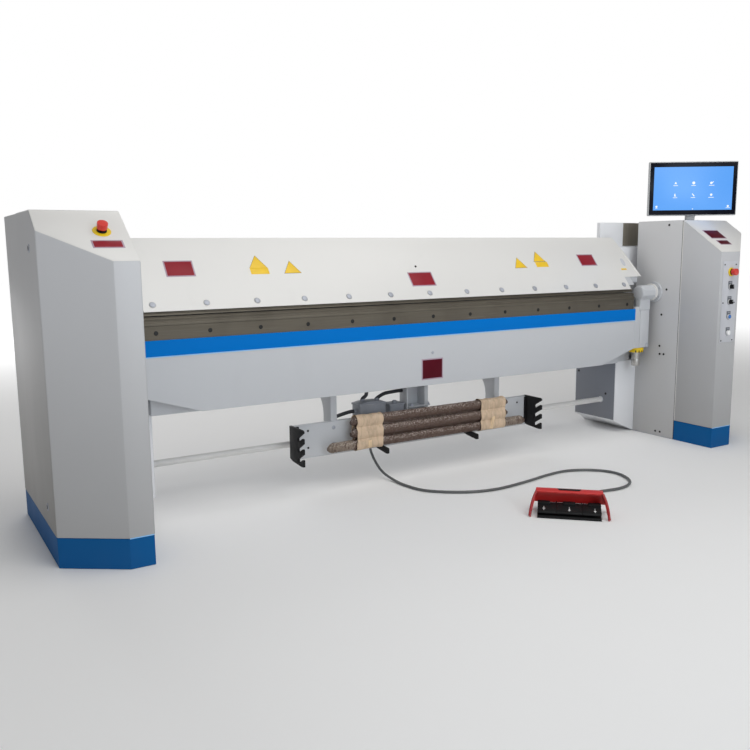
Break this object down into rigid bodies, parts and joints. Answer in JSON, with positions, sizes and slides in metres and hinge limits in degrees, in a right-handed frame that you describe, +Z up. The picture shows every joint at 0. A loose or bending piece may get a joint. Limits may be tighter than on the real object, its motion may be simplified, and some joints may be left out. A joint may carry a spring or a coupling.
{
  "type": "sheet metal folding machine",
  "caption": "Floor-standing sheet metal folding machine with two cabinets, a clamping beam, a swinging folding beam, a rack under it, a touch screen and a foot pedal unit.",
  "frame": {"origin": "on the floor, under the middle of the machine's bounding box without the foot pedal unit", "axes": "+X along the fold line, to the right as the operator sees it; +Y to the machine's back; +Z up"},
  "size_m": [4.2722, 1.6745, 1.7685],
  "materials": {
    "light_grey_paint": "light grey textured paint",
    "warm_white_paint": "warm white satin paint",
    "blue_paint": "strong blue satin paint",
    "tool_steel": "dark bronze-brown worn tool steel",
    "bare_steel": "bare machined steel",
    "black_plastic": "matt black plastic",
    "dark_grey_plastic": "dark grey plastic",
    "black_paint": "matt black powder paint",
    "wrapped_bar": "steel bar in oily crinkled brown paper",
    "brown_paper": "creased brown kraft paper",
    "yellow_plastic": "yellow plastic",
    "red_plastic": "red plastic",
    "red_paint": "red powder paint",
    "control_plate_paint": "light grey satin paint",
    "silver_plastic": "silver plastic",
    "screen_glass": "black cover glass of a lit screen",
    "white_plastic": "white plastic lens",
    "blue_plastic": "blue plastic lens",
    "pedal_rubber": "black rubber",
    "cable_rubber": "dark grey rubber cable sheath"
  },
  "bodies": {
    "frame": {"left_cabinet": "light_grey_paint", "right_cabinet": "light_grey_paint", "left_plinth": "blue_paint", "right_plinth": "blue_paint", "left_column": "light_grey_paint", "right_column": "light_grey_paint", "left_pivot_flange": "light_grey_paint", "right_pivot_flange": "light_grey_paint", "lower_beam": "light_grey_paint", "lower_tool_rail": "tool_steel", "left_bracket": "light_grey_paint", "right_bracket": "light_grey_paint", "centre_bracket": "light_grey_paint", "cross_tube": "light_grey_paint", "rack_panel": "light_grey_paint", "rack_support_far_left": "black_paint", "rack_support_left": "black_paint", "rack_support_right": "black_paint", "rack_support_far_right": "black_paint", "wrapped_bar_1": "wrapped_bar", "wrapped_bar_2": "wrapped_bar", "wrapped_bar_3": "wrapped_bar", "left_paper_wrap": "brown_paper", "right_paper_wrap": "brown_paper", "junction_box": "dark_grey_plastic", "connector_box": "dark_grey_plastic", "box_gland": "black_plastic", "beam_cable": "cable_rubber", "arch_cable": "cable_rubber", "monitor_base": "dark_grey_plastic", "control_plate": "control_plate_paint", "left_stop_collar": "yellow_plastic", "right_stop_collar": "yellow_plastic", "pedal_base": "black_plastic", "pedal_guard": "red_paint", "pedal_gland": "black_plastic", "pedal_cable": "cable_rubber"},
    "folding_unit": {"folding_beam": "light_grey_paint", "folding_beam_band": "blue_paint", "folding_rail": "tool_steel", "left_arm": "light_grey_paint", "right_arm": "light_grey_paint", "spindle_collar": "yellow_plastic", "spindle_rod": "bare_steel"},
    "clamping_unit": {"clamping_cover": "warm_white_paint", "clamping_beam": "light_grey_paint", "upper_tool": "tool_steel"},
    "screen_unit": {"monitor": "silver_plastic", "monitor_glass": "screen_glass"},
    "left_stop_button_unit": {"left_stop_button": "red_plastic"},
    "right_stop_button_unit": {"right_stop_button": "red_plastic"},
    "upper_selector_unit": {"upper_selector": "black_plastic"},
    "lower_selector_unit": {"lower_selector": "black_plastic"},
    "blue_button_unit": {"blue_button": "blue_plastic"},
    "white_button_unit": {"white_button": "white_plastic"},
    "left_pedal_unit": {"left_pedal": "pedal_rubber"},
    "middle_pedal_unit": {"middle_pedal": "pedal_rubber"},
    "right_pedal_unit": {"right_pedal": "pedal_rubber"}
  },
  "joints": [
    {"name": "fold", "type": "hinge", "parent": "frame", "child": "folding_unit", "pos_m": [-0.11808, -0.0287, 0.941], "axis": [-1, 0, 0], "range_deg": [0, 135]},
    {"name": "clamp_lift", "type": "slide", "parent": "frame", "child": "clamping_unit", "axis": [0, 0, 1], "range_m": [0, 0.12]},
    {"name": "monitor_swivel", "type": "hinge", "parent": "frame", "child": "screen_unit", "pos_m": [1.91192, -0.0587, 1.3963], "axis": [0, 0, 1], "range_deg": [-40, 40]},
    {"name": "right_stop_press", "type": "slide", "parent": "frame", "child": "right_stop_button_unit", "axis": [0, 1, 0], "range_m": [0, 0.006], "stiffness_N_per_m": 800},
    {"name": "left_stop_press", "type": "slide", "parent": "frame", "child": "left_stop_button_unit", "axis": [0, 0.5721, -0.8202], "range_m": [0, 0.006], "stiffness_N_per_m": 800},
    {"name": "upper_selector_turn", "type": "hinge", "parent": "frame", "child": "upper_selector_unit", "pos_m": [1.73492, -0.511, 0.989], "axis": [0, -1, 0], "range_deg": [-45, 45]},
    {"name": "lower_selector_turn", "type": "hinge", "parent": "frame", "child": "lower_selector_unit", "pos_m": [1.73492, -0.511, 0.898], "axis": [0, -1, 0], "range_deg": [-45, 45]},
    {"name": "blue_button_press", "type": "slide", "parent": "frame", "child": "blue_button_unit", "axis": [0, 1, 0], "range_m": [0, 0.003], "stiffness_N_per_m": 500},
    {"name": "white_button_press", "type": "slide", "parent": "frame", "child": "white_button_unit", "axis": [0, 1, 0], "range_m": [0, 0.003], "stiffness_N_per_m": 500},
    {"name": "left_pedal_press", "type": "hinge", "parent": "frame", "child": "left_pedal_unit", "pos_m": [0.02562, -0.93318, 0.0123], "axis": [0.7242, -0.6896, 0], "range_deg": [0, 5], "stiffness_Nm_per_rad": 8, "springref_deg": -1.15},
    {"name": "middle_pedal_press", "type": "hinge", "parent": "frame", "child": "middle_pedal_unit", "pos_m": [0.02562, -0.93318, 0.0123], "axis": [0.7242, -0.6896, 0], "range_deg": [0, 5], "stiffness_Nm_per_rad": 8, "springref_deg": -1.15},
    {"name": "right_pedal_press", "type": "hinge", "parent": "frame", "child": "right_pedal_unit", "pos_m": [0.02562, -0.93318, 0.0123], "axis": [0.7242, -0.6896, 0], "range_deg": [0, 5], "stiffness_Nm_per_rad": 8, "springref_deg": -1.15}
  ]
}
